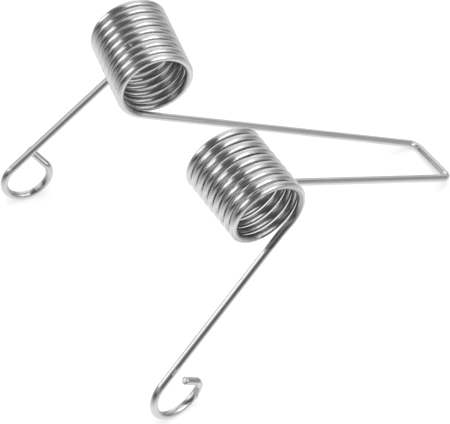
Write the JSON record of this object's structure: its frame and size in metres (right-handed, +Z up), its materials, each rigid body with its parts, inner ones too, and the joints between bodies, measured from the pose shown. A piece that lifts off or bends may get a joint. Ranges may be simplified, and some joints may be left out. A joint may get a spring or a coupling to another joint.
{
  "type": "double torsion spring",
  "caption": "Double torsion spring bent from one round wire: a long U-shaped bridge between two open-wound coils, whose outer legs end in hooks.",
  "frame": {"origin": "on the wire's centre line, in the middle of the bridge's crossbar", "axes": "+Z up with the spring standing on its crossbar and both hooks, +X out of the bridge past the crossbar, +Y towards the side with the closed hook"},
  "size_m": [0.1095, 0.088, 0.0656],
  "materials": {
    "spring_steel": "bright drawn spring wire, smooth and semi-bright"
  },
  "bodies": {
    "root": {"spring": "spring_steel"}
  },
  "joints": []
}
